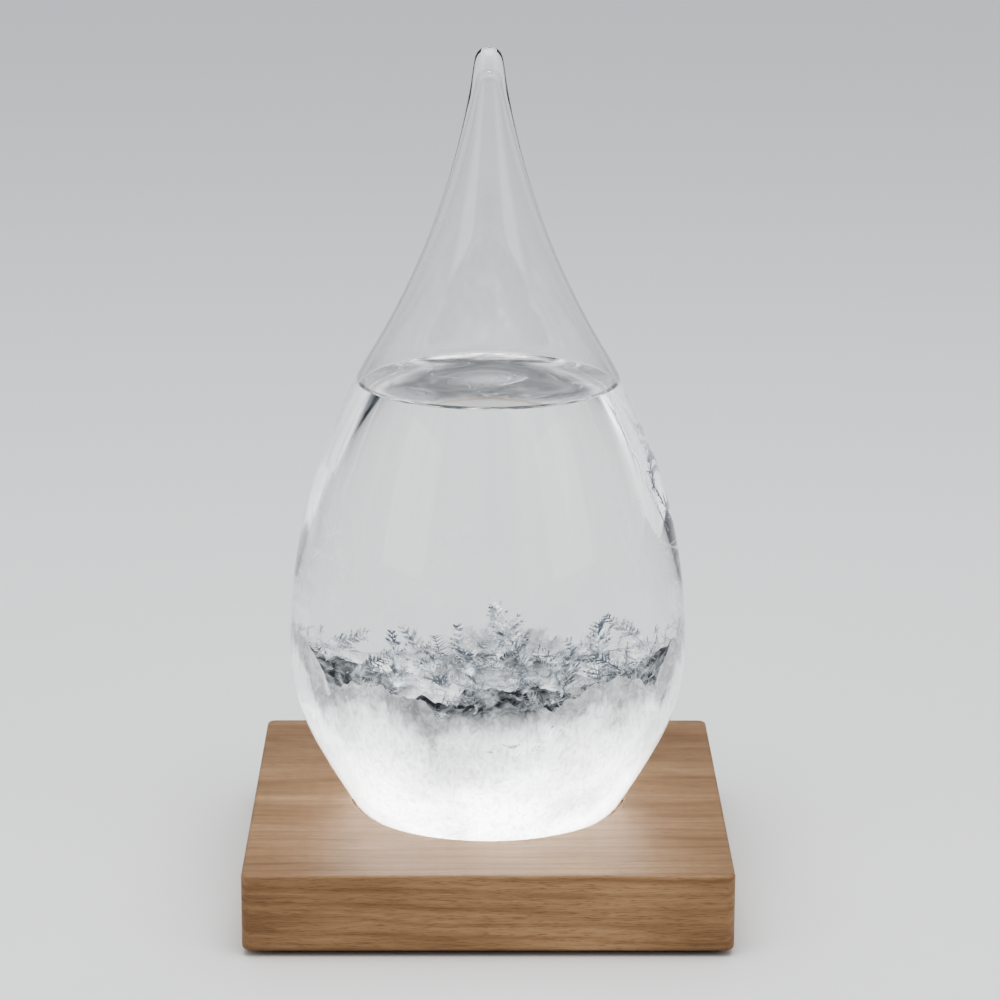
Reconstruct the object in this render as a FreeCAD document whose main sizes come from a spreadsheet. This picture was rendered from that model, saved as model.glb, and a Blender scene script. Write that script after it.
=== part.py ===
"""Drop-shaped storm glass on a square beech base, as a parametric document.

Frame: millimetres, +Z up, origin on the table under the middle of the base, +Y away from the viewer.
The glass drop is one hollow blown vessel, filled through a hole in its raised bottom. It stands
loose in a round pocket of the base and holds a clear solution and the crystals that grow in it.
"""
import FreeCAD, Part
import math
import os

import Sketcher
from FreeCAD import Placement, Rotation, Vector

DIMENSIONS = {
    # base and its feet
    "base_side": 137.0,
    "base_height": 22.5,
    "side_edge_round": 2.5,
    "top_edge_round": 0.9,
    "bottom_edge_round": 1.6,
    "pocket_radius": 40.2,
    "pocket_depth": 3.0,
    "pocket_edge_round": 0.5,
    "foot_radius": 7.0,
    "foot_height": 1.5,
    "foot_inset": 16.0,
    "seat_gap": 0.1,
    # outside of the drop: arcs that run into each other from its standing ring to its tip
    "ring_inner_radius": 31.0,
    "ring_outer_radius": 34.0,
    "heel_arc": 6.6,
    "flank_arc": 244.0,
    "belly_arc": 58.6,
    "belly_radius": 57.5,
    "belly_level": 49.5,
    "shoulder_arc": 168.5,
    "neck_arc": 218.0,
    "tip_arc": 4.0,
    "drop_height": 223.3,
    # glass
    "wall": 1.6,
    "floor_wall": 2.4,
    "punt_height": 7.0,
    "punt_land_radius": 10.0,
    "fill_hole_radius": 4.5,
    "cavity_tip_arc": 2.4,
    "cavity_height": 217.0,
    # plug of the fill hole and the sealant over it
    "stopper_head_radius": 7.0,
    "stopper_head_height": 1.4,
    "stopper_reach": 2.6,
    "stopper_point_radius": 3.9,
    "seal_radius": 9.4,
    "seal_flat_radius": 6.5,
    "seal_cover": 1.2,
    # contents
    "liquid_level": 126.0,
    "bed_level": 39.0,
    "feather_thickness": 0.8,
    "feather_foot_width": 1.2,
}

SEAT = "dimensions.foot_height + dimensions.base_height - dimensions.pocket_depth + dimensions.seat_gap"

# Swellings of the crystal bed and the heaps on it: centre in the drop's own frame, and radius.
BED_SWELLS = {
    "swell_front_left": (Vector(-27, -36, 26), 26.5),
    "swell_front_right": (Vector(30, -35, 26), 26.5),
    "swell_back_left": (Vector(-27, 32, 17), 28.0),
    "swell_back_right": (Vector(30, 30, 16), 28.0),
}
HEAPS = {
    "crystal_drift_left": (Vector(-50, -6, 34), 24.0),
    "crystal_drift_right": (Vector(50, -3, 34), 24.0),
    "crystal_drift_front": (Vector(3, -44, 27), 25.0),
    "crystal_drift_back": (Vector(2, 40, 18), 26.0),
    "crystal_mound_centre": (Vector(6, -6, 29), 19.5),
}

# Feather crystals: foot in the drop's own frame, lean from the vertical, heading of the lean,
# turn about the stem (degrees), length and greatest width.
FEATHERS = (
    (Vector(9, -5, 44), 16, 175, 10, 22.0, 9.5),
    (Vector(16, -2, 43), 34, -10, -20, 19.0, 6.5),
    (Vector(-3, -9, 44), 16, 200, 30, 17.0, 7.0),
    (Vector(-9, -2, 40), 26, 150, -35, 19.0, 6.5),
    (Vector(17, -14, 42), 30, -60, 15, 17.0, 7.0),
    (Vector(32, -12, 46), 50, 190, -10, 18.0, 8.0),
    (Vector(34, 3, 49), 50, 160, 25, 14.0, 6.5),
    (Vector(23, 6, 38), 30, 110, 60, 18.0, 7.0),
    (Vector(-32, -13, 46), 58, -20, -15, 14.0, 6.0),
    (Vector(-35, 2, 49), 60, -10, 35, 12.0, 5.5),
    (Vector(-18, 6, 38), 30, 95, 70, 16.0, 6.5),
    (Vector(2, 30, 40), 18, -80, 40, 17.0, 7.5),
)
# One side of a feather from foot to point: share of the half width, share of the length.
FEATHER_SIDE = ((0.72, 0.16), (0.34, 0.20), (1.0, 0.42), (0.40, 0.46), (0.70, 0.68), (0.26, 0.72))

START, END, CENTRE = 1, 2, 3
ORIGIN, H_AXIS, V_AXIS = -1, -1, -2

doc = FreeCAD.newDocument("storm_glass")
sheet = doc.addObject("Spreadsheet::Sheet", "dimensions")


def fill_sheet():
    """Writes every size as a row: its name, its plain number, and the name as the number's alias."""
    sizes = dict(DIMENSIONS)
    sizes.update({f"{label}_radius": ball[1] for label, ball in (BED_SWELLS | HEAPS).items()})
    for number, feather in enumerate(FEATHERS, start=1):
        sizes[f"feather_{number:02d}_length"] = feather[4]
        sizes[f"feather_{number:02d}_width"] = feather[5]
    for row, (name, value) in enumerate(sizes.items(), start=1):
        sheet.set(f"A{row}", name)
        sheet.set(f"B{row}", str(value))
        sheet.setAlias(f"B{row}", name)
    doc.recompute()


def cell(name):
    """The number that the sheet holds under a name."""
    return float(getattr(sheet, name))


def bind(target, path, formula):
    """Ties a property to the sheet."""
    target.setExpression(path, formula)


# ---- sketches -------------------------------------------------------------------------------

def new_body(label):
    """A Body whose Label names its file."""
    body = doc.addObject("PartDesign::Body", label)
    body.Label = label
    return body


def new_sketch(body, name, role="XZ_Plane"):
    """A sketch on one of the body's own origin planes."""
    sketch = body.newObject("Sketcher::SketchObject", name)
    plane = next(feature for feature in body.Origin.OriginFeatures if feature.Role == role)
    sketch.AttachmentSupport = (plane, "")
    sketch.MapMode = "FlatFace"
    return sketch


def add_line(sketch, start, end):
    return sketch.addGeometry(Part.LineSegment(Vector(*start, 0), Vector(*end, 0)), False)


def add_arc(sketch, centre, start, end):
    """An arc that runs anticlockwise from start to end."""
    first = math.atan2(start[1] - centre[1], start[0] - centre[0])
    last = math.atan2(end[1] - centre[1], end[0] - centre[0])
    if last <= first:
        last += 2 * math.pi
    circle = Part.Circle(Vector(*centre, 0), Vector(0, 0, 1), math.dist(centre, start))
    return sketch.addGeometry(Part.ArcOfCircle(circle, first, last), False)


def add_circle(sketch, radius, formula):
    """A circle about the sketch's origin."""
    circle = Part.Circle(Vector(0, 0, 0), Vector(0, 0, 1), radius)
    index = sketch.addGeometry(circle, False)
    tie(sketch, "Coincident", index, CENTRE, ORIGIN, START)
    tie_size(sketch, formula, radius, "Radius", index)


def tie(sketch, kind, *where):
    sketch.addConstraint(Sketcher.Constraint(kind, *where))


def tie_size(sketch, formula, value, kind, *where):
    """A dimension: its first value, and the formula that it follows."""
    index = sketch.addConstraint(Sketcher.Constraint(kind, *where, value))
    bind(sketch, f"Constraints[{index}]", formula)


def tie_point(sketch, index, point, across, up):
    """Holds a point at a place given by two pairs of value and formula."""
    for kind, (value, formula) in (("DistanceX", across), ("DistanceY", up)):
        tie_size(sketch, formula, value, kind, ORIGIN, START, index, point)


def draw_polygon(sketch, corners):
    """A closed outline of straight lines. A corner is two pairs of value and formula."""
    points = [(across[0], up[0]) for across, up in corners]
    lines = [add_line(sketch, points[i - 1], points[i]) for i in range(len(points))]
    for i, (across, up) in enumerate(corners):
        tie(sketch, "Coincident", lines[i], END, lines[(i + 1) % len(lines)], START)
        tie_point(sketch, lines[i], END, across, up)


def turn_whole(body, sketch, kind, name):
    """A full turn of a sketch about its vertical axis, added (Revolution) or taken away (Groove)."""
    feature = body.newObject(f"PartDesign::{kind}", name)
    feature.Profile = sketch
    feature.ReferenceAxis = (sketch, ["V_Axis"])
    feature.Angle = 360
    return feature


def remove_checked(body, feature):
    """Recomputes and makes sure that the feature has taken material away."""
    doc.recompute()
    if feature.Shape.Volume > feature.BaseFeature.Shape.Volume - 1:
        raise RuntimeError(f"{feature.Name} removes nothing from {body.Label}")


# ---- base -----------------------------------------------------------------------------------

def edges_where(shape, test):
    """Names of the edges whose every vertex passes a test."""
    return [
        f"Edge{number}"
        for number, edge in enumerate(shape.Edges, start=1)
        if all(test(vertex.Point) for vertex in edge.Vertexes) and test(edge.CenterOfMass)
    ]


def round_edges(body, name, radius_formula, test):
    """A fillet on the edges that pass a test."""
    doc.recompute()
    before = body.Tip
    fillet = body.newObject("PartDesign::Fillet", name)
    fillet.Base = (before, edges_where(before.Shape, test))
    bind(fillet, "Radius", radius_formula)
    doc.recompute()


def make_base():
    """The wooden block: a square pad with a round pocket, all its edges softened."""
    body = new_body("base_block")
    half, height = cell("base_side") / 2, cell("base_height")
    sketch = new_sketch(body, "base_square", "XY_Plane")
    minus = (-half, "-dimensions.base_side / 2")
    plus = (half, "dimensions.base_side / 2")
    draw_polygon(sketch, ((minus, minus), (plus, minus), (plus, plus), (minus, plus)))
    block = body.newObject("PartDesign::Pad", "base_pad")
    block.Profile = sketch
    bind(block, "Length", "dimensions.base_height")
    doc.recompute()

    outline = new_sketch(body, "pocket_circle", "XY_Plane")
    bind(outline, "AttachmentOffset.Base.z", "dimensions.base_height")
    add_circle(outline, cell("pocket_radius"), "dimensions.pocket_radius")
    pocket = body.newObject("PartDesign::Pocket", "base_pocket")
    pocket.Profile = outline
    bind(pocket, "Length", "dimensions.pocket_depth")
    remove_checked(body, pocket)

    def at_corner(point):
        return abs(abs(point.x) - half) < 0.01 and abs(abs(point.y) - half) < 0.01

    def at_rim(level):
        reach = cell("pocket_radius") + 1
        return lambda point: abs(point.z - level) < 0.01 and max(abs(point.x), abs(point.y)) > reach

    def at_pocket_edge(point):
        reach = cell("pocket_radius")
        return abs(point.z - height) < 0.01 and math.hypot(point.x, point.y) < reach + 0.01

    round_edges(body, "side_rounds", "dimensions.side_edge_round", at_corner)
    round_edges(body, "top_rounds", "dimensions.top_edge_round", at_rim(height))
    round_edges(body, "bottom_rounds", "dimensions.bottom_edge_round", at_rim(0))
    round_edges(body, "pocket_rounds", "dimensions.pocket_edge_round", at_pocket_edge)
    bind(body, "Placement.Base.z", "dimensions.foot_height")
    return body


def make_foot(number, side_x, side_y):
    """A round felt pad under one corner of the block."""
    body = new_body(f"foot_pad_{number}")
    sketch = new_sketch(body, f"foot_circle_{number}", "XY_Plane")
    add_circle(sketch, cell("foot_radius"), "dimensions.foot_radius")
    pad = body.newObject("PartDesign::Pad", f"foot_pad_body_{number}")
    pad.Profile = sketch
    bind(pad, "Length", "dimensions.foot_height")
    reach = "(dimensions.base_side / 2 - dimensions.foot_inset)"
    bind(body, "Placement.Base.x", f"{side_x} * {reach}")
    bind(body, "Placement.Base.y", f"{side_y} * {reach}")
    return body


# ---- glass ----------------------------------------------------------------------------------

def toward(start, end, distance):
    """The point at a distance from start on the way to end, or beyond it."""
    share = distance / math.dist(start, end)
    return tuple(a + share * (b - a) for a, b in zip(start, end))


def meet_circles(first, first_reach, second, second_reach, side):
    """Where two circles cross. Side 1 is left of the way from the first centre to the second."""
    gap = math.dist(first, second)
    along = (first_reach**2 - second_reach**2 + gap**2) / (2 * gap)
    off = side * math.sqrt(first_reach**2 - along**2)
    ux, uy = (second[0] - first[0]) / gap, (second[1] - first[1]) / gap
    return first[0] + along * ux - off * uy, first[1] + along * uy + off * ux


def draw_side(sketch, inset, tip_arc, height):
    """The drop's side as six arcs from heel to tip, tangent where they meet.

    The inset is how far inside the drop's outer skin the line runs: its formula, or "0". Returns
    the first and the last arc.
    """
    depth = cell(inset) if inset != "0" else 0.0
    inset = f"dimensions.{inset}" if inset != "0" else inset
    heel, flank, belly = (cell(name) - depth for name in ("heel_arc", "flank_arc", "belly_arc"))
    shoulder, neck = cell("shoulder_arc") - depth, cell("neck_arc") + depth
    tip, top = cell(tip_arc), cell(height)
    widest = (cell("belly_radius") - depth, cell("belly_level"))

    heel_centre = (cell("ring_outer_radius"), cell("heel_arc"))
    belly_centre = (widest[0] - belly, widest[1])
    flank_centre = meet_circles(heel_centre, flank - heel, belly_centre, flank - belly, 1)
    shoulder_centre = (widest[0] - shoulder, widest[1])
    tip_centre = (0.0, top - tip)
    neck_centre = meet_circles(shoulder_centre, shoulder + neck, tip_centre, neck + tip, -1)

    foot = (heel_centre[0], heel_centre[1] - heel)
    heel_end = toward(flank_centre, heel_centre, flank)
    flank_end = toward(flank_centre, belly_centre, flank)
    shoulder_end = toward(shoulder_centre, neck_centre, shoulder)
    neck_end = toward(neck_centre, tip_centre, neck)

    arcs = {
        "heel": add_arc(sketch, heel_centre, foot, heel_end),
        "flank": add_arc(sketch, flank_centre, heel_end, flank_end),
        "belly": add_arc(sketch, belly_centre, flank_end, widest),
        "shoulder": add_arc(sketch, shoulder_centre, widest, shoulder_end),
        "neck": add_arc(sketch, neck_centre, neck_end, shoulder_end),
        "tip": add_arc(sketch, tip_centre, neck_end, (0.0, top)),
    }
    tie(sketch, "Tangent", arcs["heel"], END, arcs["flank"], START)
    tie(sketch, "Tangent", arcs["flank"], END, arcs["belly"], START)
    tie(sketch, "Tangent", arcs["belly"], END, arcs["shoulder"], START)
    tie(sketch, "Tangent", arcs["shoulder"], END, arcs["neck"], END)
    tie(sketch, "Tangent", arcs["neck"], START, arcs["tip"], START)
    for name, radius in (("heel", heel), ("flank", flank), ("belly", belly), ("shoulder", shoulder)):
        tie_size(sketch, f"dimensions.{name}_arc - {inset}", radius, "Radius", arcs[name])
    tie_size(sketch, f"dimensions.neck_arc + {inset}", neck, "Radius", arcs["neck"])
    tie_size(sketch, f"dimensions.{tip_arc}", tip, "Radius", arcs["tip"])

    tie_point(
        sketch, arcs["heel"], CENTRE,
        (heel_centre[0], "dimensions.ring_outer_radius"),
        (heel_centre[1], "dimensions.heel_arc"),
    )
    tie(sketch, "Vertical", arcs["heel"], CENTRE, arcs["heel"], START)
    tie_point(
        sketch, arcs["belly"], END,
        (widest[0], f"dimensions.belly_radius - {inset}"),
        (widest[1], "dimensions.belly_level"),
    )
    tie(sketch, "Horizontal", arcs["belly"], CENTRE, arcs["belly"], END)
    tie(sketch, "PointOnObject", arcs["tip"], CENTRE, V_AXIS)
    tie(sketch, "PointOnObject", arcs["tip"], END, V_AXIS)
    tie_size(
        sketch, f"dimensions.{height}", top, "DistanceY", ORIGIN, START, arcs["tip"], END
    )
    return arcs["heel"], arcs["tip"]


def draw_outer(sketch):
    """Half section of the drop as if it were solid and flat below."""
    heel, tip = draw_side(sketch, "0", "tip_arc", "drop_height")
    floor = add_line(sketch, (0, 0), (cell("ring_outer_radius"), 0))
    axis = add_line(sketch, (0, cell("drop_height")), (0, 0))
    tie(sketch, "Coincident", floor, END, heel, START)
    tie(sketch, "Coincident", tip, END, axis, START)
    tie(sketch, "Coincident", axis, END, floor, START)
    tie(sketch, "Coincident", floor, START, ORIGIN, START)


def draw_cavity(sketch):
    """Half section of the hollow: the side set in by the wall, over a domed floor."""
    heel, tip = draw_side(sketch, "wall", "cavity_tip_arc", "cavity_height")
    crown = (0.0, cell("punt_height") + cell("floor_wall"))
    rim = (cell("ring_outer_radius"), cell("wall"))
    drop = crown[1] - rim[1]
    radius = (rim[0] ** 2 + drop**2) / (2 * drop)
    floor = add_arc(sketch, (0.0, crown[1] - radius), rim, crown)
    axis = add_line(sketch, (0.0, cell("cavity_height")), crown)
    tie(sketch, "Coincident", floor, START, heel, START)
    tie(sketch, "Coincident", tip, END, axis, START)
    tie(sketch, "Coincident", axis, END, floor, END)
    tie(sketch, "PointOnObject", floor, CENTRE, V_AXIS)
    tie_point(
        sketch, floor, END, (0.0, "0"), (crown[1], "dimensions.punt_height + dimensions.floor_wall")
    )


def draw_punt(sketch):
    """Half section of the hollow under the drop: a shallow dome with a flat land at its top."""
    rim = (cell("ring_inner_radius"), 0.0)
    land = (cell("punt_land_radius"), cell("punt_height"))
    centre_level = (land[0] ** 2 + land[1] ** 2 - rim[0] ** 2) / (2 * land[1])
    dome = add_arc(sketch, (0.0, centre_level), rim, land)
    top = add_line(sketch, land, (0.0, land[1]))
    axis = add_line(sketch, (0.0, land[1]), (0.0, 0.0))
    mouth = add_line(sketch, (0.0, 0.0), rim)
    tie(sketch, "Coincident", dome, END, top, START)
    tie(sketch, "Coincident", top, END, axis, START)
    tie(sketch, "Coincident", axis, END, mouth, START)
    tie(sketch, "Coincident", mouth, END, dome, START)
    tie(sketch, "Coincident", mouth, START, ORIGIN, START)
    tie(sketch, "PointOnObject", mouth, END, H_AXIS)
    tie(sketch, "Horizontal", top)
    tie(sketch, "PointOnObject", dome, CENTRE, V_AXIS)
    tie(sketch, "PointOnObject", top, END, V_AXIS)
    tie_size(
        sketch, "dimensions.ring_inner_radius", rim[0], "DistanceX", ORIGIN, START, mouth, END
    )
    tie_point(
        sketch, dome, END,
        (land[0], "dimensions.punt_land_radius"),
        (land[1], "dimensions.punt_height"),
    )


def make_glass():
    """The vessel: turned outside, turned hollow and punt taken away, fill hole cut from below."""
    body = new_body("glass_drop")
    outer = new_sketch(body, "drop_outline")
    draw_outer(outer)
    turn_whole(body, outer, "Revolution", "drop_outside")
    doc.recompute()
    for name, draw in (("drop_punt", draw_punt), ("drop_hollow", draw_cavity)):
        section = new_sketch(body, f"{name}_outline")
        draw(section)
        remove_checked(body, turn_whole(body, section, "Groove", name))

    hole = new_sketch(body, "fill_hole_circle", "XY_Plane")
    add_circle(hole, cell("fill_hole_radius"), "dimensions.fill_hole_radius")
    pocket = body.newObject("PartDesign::Pocket", "fill_hole")
    pocket.Profile = hole
    pocket.Reversed = True
    bind(pocket, "Length", "dimensions.punt_height + 2 * dimensions.floor_wall")
    remove_checked(body, pocket)
    bind(body, "Placement.Base.z", SEAT)
    return body


def make_stopper():
    """The plug: a flat head against the land and a shank that fills the hole and reaches inside."""
    body = new_body("fill_stopper")
    land, hole = cell("punt_height"), cell("fill_hole_radius")
    zero = (0.0, "0")
    head = (cell("stopper_head_radius"), "dimensions.stopper_head_radius")
    shank = (hole, "dimensions.fill_hole_radius")
    point = (cell("stopper_point_radius"), "dimensions.stopper_point_radius")
    seat = (land, "dimensions.punt_height")
    bottom = (
        land - cell("stopper_head_height"),
        "dimensions.punt_height - dimensions.stopper_head_height",
    )
    inside = (
        land + cell("floor_wall"),
        "dimensions.punt_height + dimensions.floor_wall",
    )
    end = (
        inside[0] + cell("stopper_reach"),
        "dimensions.punt_height + dimensions.floor_wall + dimensions.stopper_reach",
    )
    section = new_sketch(body, "stopper_section")
    draw_polygon(section, (
        (zero, bottom), (head, bottom), (head, seat), (shank, seat), (shank, inside), (point, end),
        (zero, end),
    ))
    turn_whole(body, section, "Revolution", "stopper_turned")
    bind(body, "Placement.Base.z", SEAT)
    return body


def make_seal():
    """The bead of sealant that covers the plug's head and meets the land around it."""
    body = new_body("stopper_seal")
    land, head = cell("punt_height"), cell("stopper_head_radius")
    head_bottom = land - cell("stopper_head_height")
    low = head_bottom - cell("seal_cover")
    edge, flat = cell("seal_radius"), cell("seal_flat_radius")
    round_radius = ((edge - flat) ** 2 + (land - low) ** 2) / (2 * (land - low))

    sketch = new_sketch(body, "seal_section")
    bottom = add_line(sketch, (0.0, low), (flat, low))
    bead = add_arc(sketch, (flat, low + round_radius), (flat, low), (edge, land))
    top = add_line(sketch, (edge, land), (head, land))
    side = add_line(sketch, (head, land), (head, head_bottom))
    under = add_line(sketch, (head, head_bottom), (0.0, head_bottom))
    axis = add_line(sketch, (0.0, head_bottom), (0.0, low))
    tie(sketch, "Tangent", bottom, END, bead, START)
    loop = (bead, top, side, under, axis, bottom)
    for index, following in zip(loop, loop[1:]):
        tie(sketch, "Coincident", index, END, following, START)

    land_level = (land, "dimensions.punt_height")
    head_level = (head_bottom, "dimensions.punt_height - dimensions.stopper_head_height")
    low_level = (low, f"{head_level[1]} - dimensions.seal_cover")
    head_side = (head, "dimensions.stopper_head_radius")
    middle = (0.0, "0")
    tie_point(sketch, bottom, END, (flat, "dimensions.seal_flat_radius"), low_level)
    tie_point(sketch, bead, END, (edge, "dimensions.seal_radius"), land_level)
    tie_point(sketch, top, END, head_side, land_level)
    tie_point(sketch, side, END, head_side, head_level)
    tie_point(sketch, under, END, middle, head_level)
    tie_point(sketch, axis, END, middle, low_level)
    turn_whole(body, sketch, "Revolution", "seal_turned")
    bind(body, "Placement.Base.z", SEAT)
    return body


# ---- contents -------------------------------------------------------------------------------

def combine(kind, label, *shapes):
    """A boolean of finished objects: Cut and Common take two, MultiFuse takes any number."""
    result = doc.addObject(f"Part::{kind}", label)
    result.Label = label
    if kind == "MultiFuse":
        result.Shapes = list(shapes)
    else:
        result.Base, result.Tool = shapes
    return result


def make_cavity():
    """The hollow of the drop as a solid, which shapes everything that lies in it."""
    body = new_body("cavity_form")
    section = new_sketch(body, "cavity_section")
    draw_cavity(section)
    turn_whole(body, section, "Revolution", "cavity_turned")
    bind(body, "Placement.Base.z", SEAT)
    return body


def make_filling(label, level):
    """Whatever of the hollow lies below a level of the sheet."""
    slab = doc.addObject("Part::Cylinder", f"{label}_slab")
    bind(slab, "Radius", "dimensions.belly_radius")
    bind(slab, "Height", f"dimensions.{level}")
    bind(slab, "Placement.Base.z", SEAT)
    return combine("Common", label, slab, doc.getObject("cavity_form"))


def make_ball(label, centre):
    """A sphere with its centre given in the drop's own frame."""
    ball = doc.addObject("Part::Sphere", f"{label}_ball")
    bind(ball, "Radius", f"dimensions.{label}_radius")
    ball.Placement = Placement(centre, Rotation())
    bind(ball, "Placement.Base.z", f"{SEAT} + {centre.z}")
    return ball


def make_bed(cavity, stopper):
    """The dense crystals on the floor, swollen where they have grown thicker.

    Returns the bed with the plug's room taken out of it, and the bed before that.
    """
    swells = [make_ball(label, centre) for label, (centre, _) in BED_SWELLS.items()]
    pile = combine("MultiFuse", "bed_pile", make_filling("bed_filling", "bed_level"), *swells)
    whole = combine("Common", "bed_whole", pile, cavity)
    return combine("Cut", "crystal_bed", whole, stopper), whole


def make_heaps(cavity, bed_whole):
    """The heaps on the bed. Each one gives way to the bed and to the heaps before it."""
    done = [bed_whole]
    for label, (centre, _) in HEAPS.items():
        held = combine("Common", f"{label}_held", make_ball(label, centre), cavity)
        below = combine("MultiFuse", f"{label}_below", *done) if len(done) > 1 else bed_whole
        done.append(combine("Cut", label, held, below))
    return done[1:]


def make_feather(number, foot, lean, heading, turn, length, width, ground):
    """A feather crystal: two barbed blades that cross at the stem, cut off where it is buried."""
    label = f"crystal_feather_{number:02d}"
    size = f"feather_{number:02d}"
    body = new_body(f"{label}_whole")
    for role in ("XZ_Plane", "YZ_Plane"):
        sketch = new_sketch(body, f"{label}_{role[:2]}", role)
        foot_half = cell("feather_foot_width") / 2
        right = [((foot_half, "dimensions.feather_foot_width / 2"), (0.0, "0"))]
        for across, along in FEATHER_SIDE:
            right.append((
                (across * width / 2, f"{across / 2} * dimensions.{size}_width"),
                (along * length, f"{along} * dimensions.{size}_length"),
            ))
        left = [((-x[0], f"-1 * ({x[1]})"), y) for x, y in reversed(right)]
        point = ((0.0, "0"), (length, f"dimensions.{size}_length"))
        draw_polygon(sketch, (*right, point, *left))
        blade = body.newObject("PartDesign::Pad", f"{label}_blade_{role[:2]}")
        blade.Profile = sketch
        blade.Midplane = True
        bind(blade, "Length", "dimensions.feather_thickness")
    up, side = Vector(0, 0, 1), Vector(0, 1, 0)
    stance = Rotation(up, heading) * Rotation(side, lean) * Rotation(up, turn)
    body.Placement = Placement(foot, stance)
    bind(body, "Placement.Base.z", f"{SEAT} + {foot.z}")
    return combine("Cut", label, body, ground)


# ---- the whole ------------------------------------------------------------------------------

def check(objects):
    """Stops if any object has failed or any sub-part is not one sound solid."""
    failed = [item.Name for item in doc.Objects if {"Invalid", "Error"} & set(item.State)]
    for item in objects:
        shape = item.Shape
        if shape.isNull() or not shape.isValid() or len(shape.Solids) != 1:
            failed.append(item.Label)
    if failed:
        raise RuntimeError(f"unsound: {', '.join(failed)}")


def main():
    fill_sheet()
    base = make_base()
    corners = ((-1, -1), (1, -1), (1, 1), (-1, 1))
    feet = [make_foot(number, *corner) for number, corner in enumerate(corners, start=1)]

    glass, stopper, seal = make_glass(), make_stopper(), make_seal()
    cavity = make_cavity()
    bed, bed_whole = make_bed(cavity, stopper)
    heaps = make_heaps(cavity, bed_whole)
    ground = combine("MultiFuse", "ground", bed_whole, *heaps)
    feathers = [make_feather(number, *row, ground) for number, row in enumerate(FEATHERS, start=1)]
    sunk = combine("MultiFuse", "sunk", ground, *feathers)
    liquid = combine("Cut", "storm_liquid", make_filling("liquid_filling", "liquid_level"), sunk)
    doc.recompute()

    parts = [base, *feet, glass, stopper, seal, bed, *heaps, *feathers, liquid]
    check(parts)
    os.makedirs("parts", exist_ok=True)
    for item in parts:
        item.Shape.exportStep(f"parts/{item.Label}.step")
        print(item.Label, round(item.Shape.Volume / 1000, 3), "cm3")


main()
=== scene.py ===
"""Looks of a drop-shaped storm glass on a beech base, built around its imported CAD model."""
import math
import random

import bpy
import numpy as np
from mathutils import Matrix, Vector, noise


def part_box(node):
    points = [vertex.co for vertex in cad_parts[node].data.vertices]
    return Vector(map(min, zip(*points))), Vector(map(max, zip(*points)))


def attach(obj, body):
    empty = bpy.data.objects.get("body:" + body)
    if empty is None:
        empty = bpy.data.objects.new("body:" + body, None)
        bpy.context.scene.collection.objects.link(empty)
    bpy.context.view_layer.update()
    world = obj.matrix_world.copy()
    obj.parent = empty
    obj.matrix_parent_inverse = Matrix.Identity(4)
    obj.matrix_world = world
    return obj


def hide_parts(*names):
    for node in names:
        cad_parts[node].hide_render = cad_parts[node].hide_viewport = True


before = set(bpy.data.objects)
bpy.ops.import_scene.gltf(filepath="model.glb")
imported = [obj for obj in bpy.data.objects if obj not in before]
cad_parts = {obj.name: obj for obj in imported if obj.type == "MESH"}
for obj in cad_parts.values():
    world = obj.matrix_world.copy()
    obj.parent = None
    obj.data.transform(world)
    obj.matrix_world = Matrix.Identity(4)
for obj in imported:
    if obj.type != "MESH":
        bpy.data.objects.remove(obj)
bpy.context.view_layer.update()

MM = 0.001
SEED = 20
SCENE = bpy.context.scene

# Glass, liquid and crystals: indices of refraction.
GLASS_IOR = 1.47
LIQUID_IOR = 1.37
CRYSTAL_IOR = 1.09

# Fineness of the turned surfaces.
TURN_STEPS = 160
SIDE_STEPS = 190
FLOOR_STEPS = 30
SURFACE_STEPS = 46

# Camera: its place before the middle of the base's top, its turns in degrees and its lens in mm.
CAMERA_PLACE = (-3.8 * MM, -989.9 * MM, 351.9 * MM)
CAMERA_PITCH, CAMERA_YAW, CAMERA_ROLL = 14.851, 0.419, 0.158
CAMERA_SENSOR = 36.0
CAMERA_LENS = 127.8
CONTRAST_LOOK = "AgX - Very High Contrast"
EXPOSURE = 0.4

# Stage: distances in metres, lamp powers in watts.
FLOOR_SIZE = 12.0
FLOOR_GREY = 0.8
ROOM_COLOUR = (0.93, 0.96, 1.0)
ROOM_STRENGTH = 0.4
LAMP_TARGET = (0, 0, 0.1)
SOFTBOX_PLACE = (0, -0.25, 1.3)
SOFTBOX_SIZE = 1.1
SOFTBOX_POWER = 6.0
SOFTBOX_COLOUR = (1, 0.985, 0.96)
FILL_ASIDE, FILL_BEFORE, FILL_HEIGHT = 0.9, -0.7, 0.5
FILL_SIZE = 0.6
FILL_POWER = 0.8
FILL_COLOUR = (1, 1, 1)


# ---- camera, light and floor ----------------------------------------------------------------

def make_camera():
    """The camera, set by its place above and before the middle of the base's top."""
    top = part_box("base_block")[1].z
    pitch, yaw, roll = (math.radians(turn) for turn in (CAMERA_PITCH, CAMERA_YAW, CAMERA_ROLL))
    data = bpy.data.cameras.new("camera")
    data.sensor_width = CAMERA_SENSOR
    data.lens = CAMERA_LENS
    camera = bpy.data.objects.new("camera", data)
    SCENE.collection.objects.link(camera)
    turn = (
        Matrix.Rotation(-yaw, 4, "Z")
        @ Matrix.Rotation(math.pi / 2 - pitch, 4, "X")
        @ Matrix.Rotation(roll, 4, "Z")
    )
    across, before, above = CAMERA_PLACE
    camera.matrix_world = Matrix.Translation((across, before, top + above)) @ turn
    SCENE.camera = camera


def make_softbox(name, place, size, power, colour):
    """A large soft square lamp that faces the object."""
    data = bpy.data.lights.new(name, "AREA")
    data.shape = "SQUARE"
    data.size = size
    data.energy = power
    data.color = colour
    lamp = bpy.data.objects.new(name, data)
    SCENE.collection.objects.link(lamp)
    lamp.location = place
    lamp.rotation_euler = (Vector(LAMP_TARGET) - Vector(place)).to_track_quat("-Z", "Y").to_euler()
    lamp.visible_camera = False


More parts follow.
